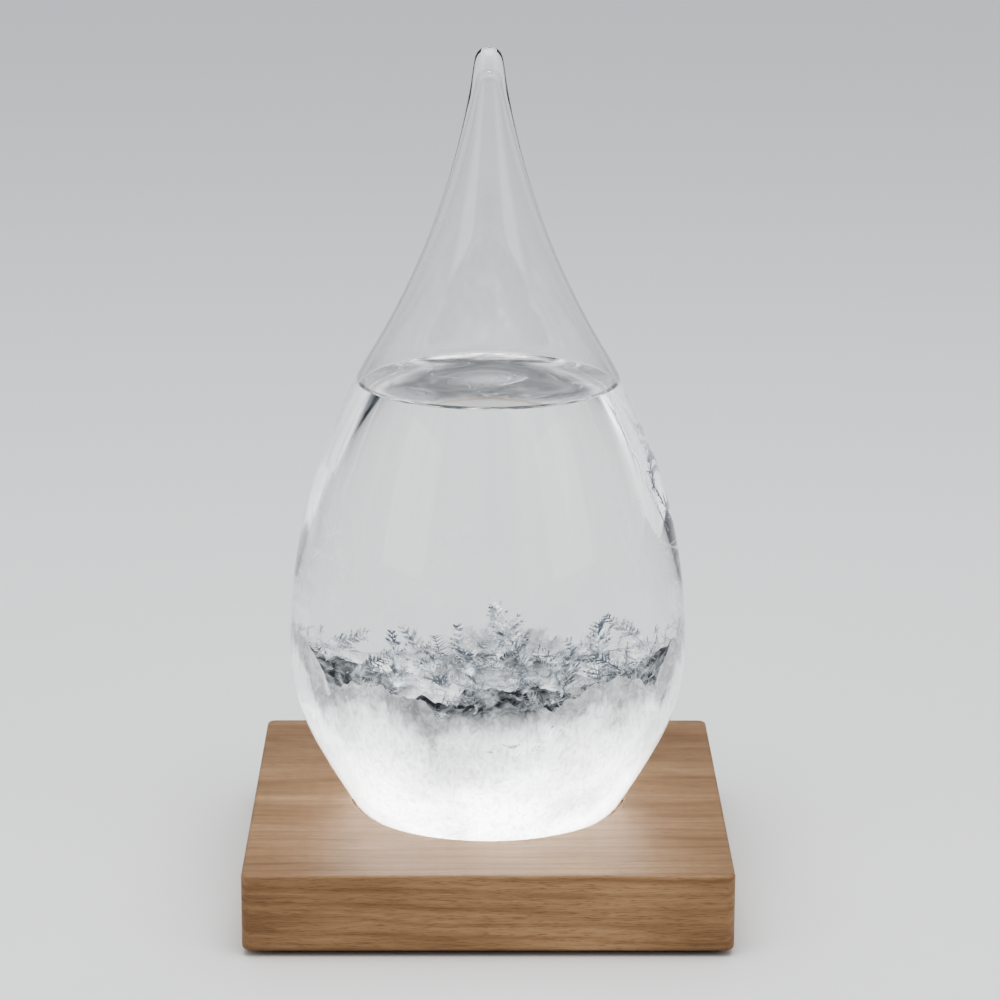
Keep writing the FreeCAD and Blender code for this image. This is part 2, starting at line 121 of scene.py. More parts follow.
def make_stage():
    """A plain pale floor, one large softbox overhead, a soft fill at each side and a pale room."""
    bpy.ops.mesh.primitive_plane_add(size=FLOOR_SIZE, location=(0, 0, 0))
    floor = bpy.context.object
    floor.name = "floor"
    floor.data.materials.append(make_floor_material())

    world = bpy.data.worlds.new("room")
    world.use_nodes = True
    background = world.node_tree.nodes["Background"]
    background.inputs["Color"].default_value = (*ROOM_COLOUR, 1)
    background.inputs["Strength"].default_value = ROOM_STRENGTH
    SCENE.world = world

    make_softbox("softbox", SOFTBOX_PLACE, SOFTBOX_SIZE, SOFTBOX_POWER, SOFTBOX_COLOUR)
    for side in (-1, 1):
        place = (FILL_ASIDE * side, FILL_BEFORE, FILL_HEIGHT)
        make_softbox("side_fill", place, FILL_SIZE, FILL_POWER, FILL_COLOUR)


def new_material(name):
    """A new node material: itself, its nodes, its links and its shader."""
    material = bpy.data.materials.new(name)
    material.use_nodes = True
    nodes = material.node_tree.nodes
    return material, nodes, material.node_tree.links, nodes["Principled BSDF"]


def make_floor_material():
    material, _, _, shader = new_material("floor_pale")
    shader.inputs["Base Color"].default_value = (FLOOR_GREY, FLOOR_GREY, FLOOR_GREY, 1)
    shader.inputs["Roughness"].default_value = 0.6
    return material


# ---- helpers for node materials -------------------------------------------------------------

def link_math(nodes, links, operation, first, second=None):
    """A Math node fed by sockets or plain numbers. Returns its output."""
    node = nodes.new("ShaderNodeMath")
    node.operation = operation
    for socket, value in zip(node.inputs, (first, second)):
        if value is None:
            continue
        if isinstance(value, (int, float)):
            socket.default_value = value
        else:
            links.new(value, socket)
    return node.outputs["Value"]


def link_mix(nodes, links, blend, share, first, second):
    """A colour Mix node. The share, and the colours, are sockets or plain values."""
    node = nodes.new("ShaderNodeMix")
    node.data_type = "RGBA"
    node.blend_type = blend
    for name, value in (("Factor", share), ("A", first), ("B", second)):
        socket = next(
            s for s in node.inputs if s.name == name and (s.type == "RGBA") == (name != "Factor")
        )
        if isinstance(value, (int, float)):
            socket.default_value = value
        elif isinstance(value, tuple):
            socket.default_value = (*value, 1)
        else:
            links.new(value, socket)
    return next(s for s in node.outputs if s.type == "RGBA")


def stretched(nodes, links, source, along, across, up):
    """Coordinates for a pattern whose cells are that long along X, Y and Z."""
    mapping = nodes.new("ShaderNodeMapping")
    mapping.inputs["Scale"].default_value = (1 / along, 1 / across, 1 / up)
    links.new(source, mapping.inputs["Vector"])
    return mapping.outputs["Vector"]


def link_noise(nodes, links, vector, detail, roughness=0.55, distortion=0.0):
    """Noise with cells one unit of its coordinates wide."""
    node = nodes.new("ShaderNodeTexNoise")
    node.inputs["Scale"].default_value = 1.0
    node.inputs["Detail"].default_value = detail
    node.inputs["Roughness"].default_value = roughness
    node.inputs["Distortion"].default_value = distortion
    links.new(vector, node.inputs["Vector"])
    return node.outputs["Fac"]


def link_ramp(nodes, links, source, *stops):
    """A colour ramp. A stop is a position and a grey value or a colour."""
    node = nodes.new("ShaderNodeValToRGB")
    ramp = node.color_ramp
    while len(ramp.elements) < len(stops):
        ramp.elements.new(0.5)
    for element, (position, value) in zip(ramp.elements, stops):
        element.position = position
        element.color = (value, value, value, 1) if isinstance(value, float) else (*value, 1)
    links.new(source, node.inputs["Fac"])
    return node.outputs["Color"]


# ---- outlines from the frame ----------------------------------------------------------------

def skin_points(node, keep):
    """(radius, height) of the vertices of a turned node's faces that pass a test, lowest first.

    The test gets a face's outward share along the radius and along Z, and its middle's radius
    and height.
    """
    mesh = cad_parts[node].data
    found = set()
    for face in mesh.polygons:
        middle, normal = face.center, face.normal
        reach = math.hypot(middle.x, middle.y)
        outward = (normal.x * middle.x + normal.y * middle.y) / max(reach, 1e-9)
        if keep(outward, normal.z, reach, middle.z):
            for index in face.vertices:
                place = mesh.vertices[index].co
                found.add((round(math.hypot(place.x, place.y), 6), round(place.z, 6)))
    return sorted(found, key=lambda point: (point[1], -point[0]))


def thin_out(points, least=0.8 * MM):
    """Drops points that lie nearer than the least distance to the one kept before."""
    kept = [points[0]]
    for point in points[1:-1]:
        if math.dist(point, kept[-1]) >= least and math.dist(point, points[-1]) >= least:
            kept.append(point)
    return kept + [points[-1]]


def smooth_line(points, steps):
    """Evenly spaced points of a natural cubic spline through the given ones.

    Where the line ends on the axis it is carried over to the other side, so that it ends level.
    """
    knots = thin_out(points)
    wanted = len(knots) - 1
    if abs(knots[-1][0]) < 1e-6:
        knots = knots + [(-radius, height) for radius, height in knots[-2:-7:-1]]
    knots = np.array(knots, float)
    along = np.concatenate([[0], np.cumsum(np.linalg.norm(np.diff(knots, axis=0), axis=1))])
    gaps = np.diff(along)
    size = len(knots)
    system = np.eye(size)
    right = np.zeros((size, 2))
    slope = np.diff(knots, axis=0) / gaps[:, None]
    for i in range(1, size - 1):
        system[i, i - 1:i + 2] = gaps[i - 1], 2 * (gaps[i - 1] + gaps[i]), gaps[i]
        right[i] = 6 * (slope[i] - slope[i - 1])
    bend = np.linalg.solve(system, right)
    where = np.linspace(0, along[wanted], steps)
    span = np.clip(np.searchsorted(along, where, side="right") - 1, 0, size - 2)
    left, gap = (where - along[span])[:, None], gaps[span][:, None]
    rest = gap - left
    line = (
        (bend[span] * rest**3 + bend[span + 1] * left**3) / (6 * gap)
        + (knots[span] / gap - bend[span] * gap / 6) * rest
        + (knots[span + 1] / gap - bend[span + 1] * gap / 6) * left
    )
    line[0], line[-1] = knots[0], knots[wanted]
    return [tuple(point) for point in line]


def turn_outline(name, outline, materials, slots, wobble=None):
    """A surface turned about Z. The outline is (radius, height) pairs and a slot for each span."""
    rings, poles, vertices = [], {}, []
    for row, (radius, height) in enumerate(outline):
        if radius < 1e-6:
            poles[row] = len(vertices)
            vertices.append((0, 0, height))
            rings.append(None)
            continue
        start = len(vertices)
        for step in range(TURN_STEPS):
            angle = 2 * math.pi * step / TURN_STEPS
            reach = radius + (wobble(angle, height) * min(1, radius / 0.02) if wobble else 0)
            vertices.append((reach * math.cos(angle), reach * math.sin(angle), height))
        rings.append(start)
    faces, face_slots = [], []
    for row in range(len(outline) - 1):
        low, high = rings[row], rings[row + 1]
        for step in range(TURN_STEPS):
            after = (step + 1) % TURN_STEPS
            if low is None:
                faces.append((poles[row], high + after, high + step))
            elif high is None:
                faces.append((low + step, low + after, poles[row + 1]))
            else:
                faces.append((low + step, low + after, high + after, high + step))
            face_slots.append(slots[row])
    mesh = bpy.data.meshes.new(name)
    mesh.from_pydata(vertices, [], faces)
    for material in materials:
        mesh.materials.append(material)
    mesh.polygons.foreach_set("material_index", face_slots)
    mesh.polygons.foreach_set("use_smooth", [True] * len(faces))
    mesh.update()
    obj = bpy.data.objects.new(name, mesh)
    SCENE.collection.objects.link(obj)
    return obj


# ---- glass and liquid -----------------------------------------------------------------------

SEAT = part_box("glass_drop")[0].z
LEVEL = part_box("storm_liquid")[1].z
FLOOR_ZONE = SEAT + 14 * MM
MENISCUS_RISE = 2.3 * MM
MENISCUS_REACH = 1.8 * MM
SKIN_GAP = 0.06 * MM
WALL_GAP = 0.45 * MM


def near_floor(height):
    return height < FLOOR_ZONE


OUTER_SIDE = skin_points(
    "glass_drop",
    lambda outward, up, reach, height: outward > 0.02 and not (near_floor(height) and up > 0.3),
)
INNER_SIDE = skin_points(
    "glass_drop",
    lambda outward, up, reach, height: outward < -0.05 and reach > 0.4 * MM
    and not (near_floor(height) and (up < 0 or reach < 20 * MM)),
)
CAVITY_FLOOR = skin_points(
    "glass_drop", lambda outward, up, reach, height: near_floor(height) and up > 0.3 and outward > 0
)
PUNT = skin_points(
    "glass_drop",
    lambda outward, up, reach, height: near_floor(height) and up < -0.5 and reach < 30.5 * MM,
)
INNER_LINE = smooth_line(INNER_SIDE, SIDE_STEPS)


def inner_radius(height):
    """The cavity's radius at a height, or at each of an array of heights."""
    radii, heights = zip(*INNER_LINE)
    return np.interp(height, heights, radii)


def blown(angle, height):
    """How far the hand-blown wall strays from a true turned one."""
    place = Vector((0.9 * math.cos(angle), 0.9 * math.sin(angle), height * 14))
    return 0.04 * MM * noise.noise(place)


def make_clear_material(name, ior, let_through, edge_shade, painted_reflection_share=0.0):
    """Clear and refracting. Lamps shine through it: so much face on, and less where it is edge on.

    The painted reflection share is the milky, pale warm part of it: it paints in the bright
    reflections seen in the liquid's surface.
    """
    material, nodes, links, shader = new_material(name)
    # A pale warm milky part: painted reflection for the liquid's surface.
    shader.inputs["Base Color"].default_value = (1.0, 0.97, 0.93, 1) if painted_reflection_share else (1, 1, 1, 1)
    shader.inputs["Transmission Weight"].default_value = 1.0 - painted_reflection_share
    shader.inputs["Roughness"].default_value = 0.0
    shader.inputs["IOR"].default_value = ior
    path = nodes.new("ShaderNodeLightPath")
    clear = nodes.new("ShaderNodeBsdfTransparent")
    edge = nodes.new("ShaderNodeLayerWeight")
    edge.inputs["Blend"].default_value = 0.35
    mix = nodes.new("ShaderNodeMixShader")
    shade = link_ramp(nodes, links, edge.outputs["Facing"], (0.0, let_through), (1.0, edge_shade))
    links.new(shade, clear.inputs["Color"])
    links.new(path.outputs["Is Shadow Ray"], mix.inputs["Fac"])
    links.new(shader.outputs["BSDF"], mix.inputs[1])
    links.new(clear.outputs["BSDF"], mix.inputs[2])
    links.new(mix.outputs["Shader"], nodes["Material Output"].inputs["Surface"])
    return material


def make_passing_material():
    """The liquid's flank, which the wet glass already stands for: light goes straight on."""
    material, nodes, links, _ = new_material("liquid_flank")
    clear = nodes.new("ShaderNodeBsdfTransparent")
    links.new(clear.outputs["BSDF"], nodes["Material Output"].inputs["Surface"])
    return material


def make_glass():
    """The blown vessel as one closed wall: its inside from the tip down, then its outside up."""
    contact = LEVEL + MENISCUS_RISE
    inside = INNER_LINE[::-1]
    cavity_floor = smooth_line(sorted(CAVITY_FLOOR, reverse=True), FLOOR_STEPS)
    punt = smooth_line(sorted(PUNT), FLOOR_STEPS)
    outside = smooth_line(OUTER_SIDE, SIDE_STEPS)
    outline = inside + cavity_floor[1:] + punt + outside
    first_wet = sum(height > contact for _, height in inside)
    wet_end = len(inside) + len(cavity_floor) - 2
    slots = [1 if first_wet <= row < wet_end else 0 for row in range(len(outline) - 1)]
    materials = [
        make_clear_material("clear_glass", GLASS_IOR, 0.92, 0.55),
        make_clear_material("wet_glass", GLASS_IOR / LIQUID_IOR, 0.075, 0.05),
    ]
    glass = turn_outline("blown_glass_drop", outline, materials, slots, blown)
    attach(glass, "drop")
    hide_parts("glass_drop")


def make_liquid():
    """The clear solution, a hair inside the glass, with its surface drawn up at the wall."""
    contact = LEVEL + MENISCUS_RISE
    rim_radius = float(inner_radius(contact)) - SKIN_GAP
    floor_points = smooth_line(sorted(CAVITY_FLOOR), FLOOR_STEPS)
    lowest = [(radius, height + SKIN_GAP) for radius, height in floor_points]
    flank = [(radius - SKIN_GAP, height) for radius, height in INNER_LINE if height < contact]
    flank = [point for point in flank if point[0] < 1 or point[1] > lowest[-1][1]]
    surface = []
    for step in range(SURFACE_STEPS):
        inward = rim_radius * (step / (SURFACE_STEPS - 1)) ** 2.2
        rise = MENISCUS_RISE * math.exp(-inward / MENISCUS_REACH)
        surface.append((max(0.0, rim_radius - inward), LEVEL + rise))
    outline = [(0.0, lowest[0][1])] + lowest + flank[1:] + surface
    first_top = len(outline) - len(surface)
    slots = [1 if row >= first_top else 0 for row in range(len(outline) - 1)]
    materials = [
        make_passing_material(),
        make_clear_material("liquid_surface", LIQUID_IOR, 0.018, 0.018, painted_reflection_share=0.04),
    ]
    liquid = turn_outline("clear_liquid", outline, materials, slots)
    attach(liquid, "drop")
    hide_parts("storm_liquid")


# ---- crystals -------------------------------------------------------------------------------

class Needles:
    """Collects thin pointed crystals, each one a slender closed three-sided spike."""

    def __init__(self):
        self.roots, self.points, self.widths = [], [], []

    def add(self, roots, points, widths):
        self.roots.append(roots)
        self.points.append(points)
        self.widths.append(widths)

    def hold_in_liquid(self, places):
        """Moves points that would reach the glass or the air back into the liquid."""
        places[:, 2] = np.minimum(places[:, 2], LEVEL - 4 * MM)
        reach = np.hypot(places[:, 0], places[:, 1])
        most = inner_radius(places[:, 2]) - 0.35 * MM
        scale = np.minimum(1, most / np.maximum(reach, 1e-9))
        places[:, :2] *= scale[:, None]
        return places

    def build(self, name, material):
        roots = self.hold_in_liquid(np.concatenate(self.roots))
        points = self.hold_in_liquid(np.concatenate(self.points))
        widths = np.concatenate(self.widths)[:, None]
        along = points - roots
        along /= np.maximum(np.linalg.norm(along, axis=1, keepdims=True), 1e-9)
        across = np.cross(along, (0.31, 0.87, 0.39))
        across /= np.maximum(np.linalg.norm(across, axis=1, keepdims=True), 1e-9)
        third = np.cross(along, across)
        corners = [
            roots + widths * (math.cos(turn) * across + 0.45 * math.sin(turn) * third)
            for turn in (0.0, 2.0944, 4.1888)
        ]
        vertices = np.stack(corners + [points], axis=1).reshape(-1, 3)
        base = 4 * np.arange(len(roots))[:, None, None]
        faces = (np.array([(0, 1, 3), (1, 2, 3), (2, 0, 3), (2, 1, 0)])[None] + base).reshape(-1, 3)
        mesh = bpy.data.meshes.new(name)
        mesh.from_pydata(vertices.tolist(), [], faces.tolist())
        mesh.materials.append(material)
        obj = bpy.data.objects.new(name, mesh)
        SCENE.collection.objects.link(obj)
        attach(obj, "drop")
        return obj


def grow_fern(rng, barbs, twigs, half_width=0.34):
    """A feather crystal one unit tall: a bent stem with barbs on both sides, and twigs on those.

    Returns the roots, points and widths of its needles. It stands on the origin, in XZ.
    """
    bend_x, bend_y = rng.uniform(-0.12, 0.12), rng.uniform(-0.12, 0.12)

    def stem(share):
        return np.array((bend_x * share**2, bend_y * share**2, share))

    roots, points, widths = [], [], []
    pieces = 4
    for piece in range(pieces):
        roots.append(stem(piece / pieces))
        points.append(stem(min(1.0, (piece + 1.35) / pieces)))
        widths.append(0.022 * (1 - 0.7 * piece / pieces))
    for number in range(barbs):
        share = 0.08 + 0.86 * (number + rng.uniform(-0.3, 0.3)) / barbs
        fullness = math.sin(math.pi * min(1, 0.18 + 0.82 * share)) ** 0.7
        for side in (-1, 1):
            length = half_width * fullness * rng.uniform(0.55, 1.15)
            rise = math.radians(rng.uniform(28, 48))
            twist = math.radians(rng.uniform(-22, 22))
            way = np.array((
                side * math.cos(rise) * math.cos(twist), math.cos(rise) * math.sin(twist), math.sin(rise)
            ))
            start = stem(share)
            roots.append(start)
            points.append(start + length * way)
            widths.append(0.017)
            for twig in range(twigs):
                part = 0.25 + 0.6 * (twig + rng.uniform(-0.3, 0.3)) / max(twigs, 1)
                for lean in (-1, 1):
                    turn = lean * math.radians(rng.uniform(32, 52))
                    out = np.array((
                        way[0] * math.cos(turn) - way[2] * math.sin(turn), way[1],
                        way[0] * math.sin(turn) + way[2] * math.cos(turn),
                    ))
                    roots.append(start + part * length * way)
                    points.append(roots[-1] + length * (1 - part) * rng.uniform(0.3, 0.6) * out)
                    widths.append(0.012)
    return np.array(roots), np.array(points), np.array(widths)


def stance(up, turn):
    """A rotation that stands local Z along up and turns about it."""
    up = Vector(up).normalized()
    return np.array(up.to_track_quat("Z", "Y").to_matrix() @ Matrix.Rotation(turn, 3, "Z"))


def surface_samples(rng, node, count, keep):
    """Random points and normals on the faces of a CAD node that pass a test, by area."""
    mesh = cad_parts[node].data
    faces = [face for face in mesh.polygons if keep(face)]
    if not faces:
        return []
    chosen = rng.choices(faces, weights=[face.area for face in faces], k=count)
    found = []
    for face in chosen:
        corners = [mesh.vertices[i].co for i in face.vertices[:3]]
        first, second = sorted((rng.random(), rng.random()))
        place = corners[0] * first + corners[1] * (second - first) + corners[2] * (1 - second)
        found.append((place, face.normal))
    return found


def at_wall(face):
    """Whether a heap's face lies against the glass."""
    reach = math.hypot(face.center.x, face.center.y)
    outward = (face.normal.x * face.center.x + face.normal.y * face.center.y) / max(reach, 1e-9)
    return outward > 0.5 and reach > float(inner_radius(face.center.z)) - 0.6 * MM


def on_top(face):
    return face.normal.z > 0.12 and not at_wall(face)


# Packed crystals are dense up to the first height and loose from the second one.
DENSE_TO, LOOSE_FROM = SEAT + 31 * MM, SEAT + 43 * MM

# The mesh attribute that says how loose the crystals are near the glass, how deep that goes under
# the heaps' upper edge, its largest value, and the steps round the glass in which it is found.
# Where the crystals are loose, their material paints near-black shade for the gaps between them.
EDGE_LOOSENESS = "edge_looseness"
EDGE_DEPTH = 7 * MM
EDGE_SHARE = 0.55
RIM_STEPS = 240


def map_smoothly(nodes, links, source, low, high, start=0.0, end=1.0):
    """A value that runs smoothly from start to end as the source goes from low to high."""
    node = nodes.new("ShaderNodeMapRange")
    node.interpolation_type = "SMOOTHSTEP"
    for name, value in (("From Min", low), ("From Max", high), ("To Min", start), ("To Max", end)):
        node.inputs[name].default_value = value
    links.new(source, node.inputs["Value"])
    return node.outputs["Result"]


def make_crystal_material(name, dense, pale, gap_shade, patch_size, glow, loose_glow):
    """Crystal mass: even and dense low down and at the glass. Where it loosens it is mottled: pale
    crystal, and patches of painted shade that stand for the shadowed gaps between loose crystals.

    The glow stands in for light scattered inside the white mass. It is strongest low down.
    """
    material, nodes, links, shader = new_material(name)
    place = nodes.new("ShaderNodeTexCoord").outputs["Object"]
    split = nodes.new("ShaderNodeSeparateXYZ")
    links.new(place, split.inputs["Vector"])
    squares = link_math(
        nodes, links, "ADD",
        link_math(nodes, links, "MULTIPLY", split.outputs["X"], split.outputs["X"]),
        link_math(nodes, links, "MULTIPLY", split.outputs["Y"], split.outputs["Y"]),
    )
    reach = link_math(nodes, links, "SQRT", squares)
    sideways = link_math(nodes, links, "ABSOLUTE", split.outputs["X"])
    held = link_math(
        nodes, links, "MULTIPLY",
        map_smoothly(nodes, links, reach, 40 * MM, 51 * MM, -12 * MM, 22 * MM),
        map_smoothly(nodes, links, sideways, 10 * MM, 28 * MM, 0.25, 1.0),
    )
    inside = map_smoothly(
        nodes, links, link_math(nodes, links, "SUBTRACT", split.outputs["Z"], held), DENSE_TO, LOOSE_FROM
    )
    edge = nodes.new("ShaderNodeAttribute")
    edge.attribute_name = EDGE_LOOSENESS
    # Looseness also says where the painted shade of the gaps shows.
    looseness = link_math(nodes, links, "MAXIMUM", inside, edge.outputs["Fac"])
    patch_place = stretched(nodes, links, place, patch_size, patch_size, patch_size)
    fine = link_noise(nodes, links, patch_place, 6.0, 0.65, 0.8)
    broad = link_noise(nodes, links, stretched(nodes, links, place, 0.022, 0.022, 0.022), 3.0)
    # The loose mottle: pale crystal, and painted shade for the shadowed gaps between the crystals.
    loose = link_ramp(nodes, links, fine, (0.42, gap_shade), (0.70, pale))
    fibres = link_noise(nodes, links, stretched(nodes, links, place, 0.0022, 0.0022, 0.005), 5.0, 0.6, 2.0)
    shade = link_math(
        nodes, links, "MULTIPLY", link_ramp(nodes, links, broad, (0.36, 0.70), (0.58, 1.0)),
        link_ramp(nodes, links, fibres, (0.36, 0.76), (0.56, 1.0)),
    )
    even = link_mix(nodes, links, "MULTIPLY", 1.0, dense, shade)
    links.new(link_mix(nodes, links, "MIX", looseness, even, loose), shader.inputs["Base Color"])
    depth_glow = map_smoothly(
        nodes, links, split.outputs["Z"], SEAT + 4 * MM, SEAT + 46 * MM, glow, 0.24 * glow
    )
    packed_share = link_math(nodes, links, "SUBTRACT", 1.0, looseness)
    packed_glow = link_math(nodes, links, "MULTIPLY", depth_glow, packed_share)
    packed_glow = link_math(nodes, links, "MULTIPLY", packed_glow, shade)
    # Painted glow: the pale patches of loose crystals give light of their own, as much as loose_glow.
    patches = link_ramp(nodes, links, fine, (0.42, 0.06), (0.66, 1.0))
    patch_glow = link_math(nodes, links, "MULTIPLY", patches, loose_glow)
    patch_glow = link_math(nodes, links, "MULTIPLY", patch_glow, looseness)
    links.new(link_math(nodes, links, "ADD", packed_glow, patch_glow), shader.inputs["Emission Strength"])
    shader.inputs["Emission Color"].default_value = (0.96, 0.985, 1.0, 1)
    bump = nodes.new("ShaderNodeBump")
    bump.inputs["Strength"].default_value = 0.35
    bump.inputs["Distance"].default_value = 0.4 * MM
    links.new(fine, bump.inputs["Height"])
    links.new(bump.outputs["Normal"], shader.inputs["Normal"])
    shader.inputs["Roughness"].default_value = 0.55
    shader.inputs["IOR"].default_value = CRYSTAL_IOR
    shader.inputs["Subsurface Weight"].default_value = 0.25
    shader.inputs["Subsurface Radius"].default_value = (1.0, 1.0, 1.0)
    shader.inputs["Subsurface Scale"].default_value = 2 * MM
    return material


def smooth_step(values, low, high):
    """A share that runs smoothly from 0 to 1 as the values go from low to high."""
    share = np.clip((values - low) / (high - low), 0, 1)
    return share * share * (3 - 2 * share)


def settle(places):
    """Lowers a heap's dense heart under its CAD top, most of all away from the glass."""
    reach = np.hypot(places[:, 0], places[:, 1])
    wall = inner_radius(places[:, 2])
    near_wall = smooth_step(reach, wall - 14 * MM, wall - 4 * MM)
    lumps = np.array([noise.fractal(Vector((x * 90, y * 90, 3.0)), 0.9, 2.1, 4) for x, y, _ in places])
    ragged = np.array([noise.fractal(Vector((x * 260, y * 260, 7.0)), 0.9, 2.1, 3) for x, y, _ in places])
    drop = ((6.5 - 5.0 * near_wall) * (1 + 0.75 * lumps) + 2.2 * near_wall * ragged) * MM
    places[:, 2] -= np.maximum(drop, 0) * smooth_step(places[:, 2], SEAT + 20 * MM, SEAT + 38 * MM)
    return places


def make_packed_heap(node, material):
    """The dense heart of a heap: its CAD solid, settled and lumpy on top and smooth at the glass.

    Returns its mesh, the places of its vertices and which of them lie at the glass.
    """
    rough = bpy.data.objects.new("remeshed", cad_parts[node].data.copy())
    SCENE.collection.objects.link(rough)
    grid = rough.modifiers.new("grid", "REMESH")
    grid.mode = "VOXEL"
    grid.voxel_size = 1.1 * MM
    bpy.context.view_layer.update()
    graph = bpy.context.evaluated_depsgraph_get()
    mesh = bpy.data.meshes.new_from_object(rough.evaluated_get(graph))
    bpy.data.objects.remove(rough)
    places = np.zeros(len(mesh.vertices) * 3)
    normals = np.zeros(len(mesh.vertices) * 3)
    mesh.vertices.foreach_get("co", places)
    mesh.vertices.foreach_get("normal", normals)
    places, normals = places.reshape(-1, 3), normals.reshape(-1, 3)
    lumps = np.array([noise.fractal(Vector(place) * 110, 0.9, 2.1, 4) for place in places])
    shift = (1.4 * lumps - 0.5) * MM
    if node != "crystal_bed":
        shift[normals[:, 2] < -0.2] = 3.0 * MM
    places += shift[:, None] * normals
    places = settle(places)
    reach = np.hypot(places[:, 0], places[:, 1])
    wall = inner_radius(places[:, 2]) - WALL_GAP
    at_glass = reach > wall - 1.3 * MM
    places[:, :2] *= np.where(at_glass, wall / np.maximum(reach, 1e-9), 1)[:, None]
    mesh.vertices.foreach_set("co", places.ravel())
    mesh.materials.clear()
    mesh.materials.append(material)
    mesh.polygons.foreach_set("use_smooth", [True] * len(mesh.polygons))
    mesh.polygons.foreach_set("material_index", [0] * len(mesh.polygons))
    mesh.update()
    mesh.normals_split_custom_set_from_vertices(wall_normals(mesh, places, at_glass))
    heap = bpy.data.objects.new(f"{node}_packed", mesh)
    SCENE.collection.objects.link(heap)
    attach(heap, "drop")
    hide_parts(node)
    return mesh, places, at_glass


def loosen_edge(heaps):
    """Marks how loose the crystals are near the glass: most at the heaps' common upper edge, and
    less with depth under it. Away from the glass the mark is nought.
    """
    rim = np.zeros(RIM_STEPS)

    def step_of(places):
        turn = np.arctan2(places[:, 1], places[:, 0]) / (2 * math.pi)
        return np.floor((turn % 1) * RIM_STEPS).astype(int) % RIM_STEPS

    for _, places, at_glass in heaps:
        np.maximum.at(rim, step_of(places[at_glass]), places[at_glass, 2])
    for mesh, places, at_glass in heaps:
        ragged = np.array([noise.fractal(Vector(place) * 300, 0.9, 2.1, 4) for place in places])
        depth = rim[step_of(places)] - places[:, 2] + 4 * MM * ragged
        from_wall = inner_radius(places[:, 2]) - np.hypot(places[:, 0], places[:, 1])
        near = 1 - smooth_step(from_wall, 5 * MM, 12 * MM)
        loose = near * (1 - smooth_step(depth, 0, EDGE_DEPTH))
        mark = mesh.attributes.new(EDGE_LOOSENESS, "FLOAT", "POINT")
        mark.data.foreach_set("value", EDGE_SHARE * loose)


def wall_normals(mesh, places, at_glass):
    """A mesh's vertex normals, squared to the cavity's wall where the vertices lie against it."""
    normals = np.zeros(len(mesh.vertices) * 3)
    mesh.vertices.foreach_get("normal", normals)
    normals = normals.reshape(-1, 3)
    step = 0.5 * MM
    slope = (inner_radius(places[:, 2] + step) - inner_radius(places[:, 2] - step)) / (2 * step)
    outward = places / np.maximum(np.hypot(places[:, 0], places[:, 1]), 1e-9)[:, None]
    outward[:, 2] = -slope
    outward /= np.linalg.norm(outward, axis=1, keepdims=True)
    above_floor = places[:, 2] > FLOOR_ZONE
    normals = np.where((at_glass & above_floor)[:, None], outward, normals)
    return normals.tolist()


HEAP_NODES = [
    "crystal_bed", "crystal_drift_left", "crystal_drift_right", "crystal_drift_front",
    "crystal_drift_back", "crystal_mound_centre",
]
# Small feathers for each heap: how many stand in its loose top, and how many lie along its edge
# at the glass.
FUZZ = {
    "crystal_bed": (620, 620),
    "crystal_drift_left": (220, 170),
    "crystal_drift_right": (260, 170),
    "crystal_drift_front": (150, 170),
    "crystal_drift_back": (190, 170),
    "crystal_mound_centre": (190, 0),
}


def cover_heap(rng, node, ferns, material):
    """Small feathers that fill the loose top of a heap, and a few pressed flat to the glass."""
    needles = Needles()
    standing, lying = FUZZ[node]
    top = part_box(node)[1].z
    for place, normal in surface_samples(rng, node, standing, on_top):
        if noise.fractal(Vector((place.x, place.y, 0)) * 70, 0.9, 2.1, 3) < rng.uniform(-0.25, 0.22):
            continue
        depth = rng.uniform(1.0, 8.0) * MM
        lean = Vector((rng.gauss(0, 1.0), rng.gauss(0, 1.0), rng.gauss(0.45, 0.5)))
        size = rng.uniform(4.0, 11.0) * MM * (0.6 + 0.4 * depth / (8 * MM))
        root = place - depth * Vector((0, 0, 1))
        place_fern(needles, rng.choice(ferns), root, lean, rng.uniform(0, 6.28), size)

    def at_edge(face):
        return at_wall(face) and face.center.z > top - 14 * MM

    for place, normal in surface_samples(rng, node, lying, at_edge):
        if place.z < top - rng.uniform(0, 14) * MM:
            continue
        around = Vector((-normal.y, normal.x, 0))
        lean = around * rng.gauss(0, 1) + Vector((0, 0, 1)) * rng.gauss(0.1, 0.6) + normal * 0.15
        size = rng.uniform(2.5, 5.5) * MM
        place_fern(needles, rng.choice(ferns), place - 0.9 * MM * normal, lean, rng.uniform(0, 6.28), size)
    needles.build(f"{node}_feathers", material)


def place_fern(needles, fern, place, up, turn, size):
    """Adds a fern to the needles, standing at a place along up, turned about it and scaled."""
    roots, points, widths = fern
    rotation = stance(up, turn)
    needles.add(
        size * roots @ rotation.T + np.array(place), size * points @ rotation.T + np.array(place),
        size * widths,
    )


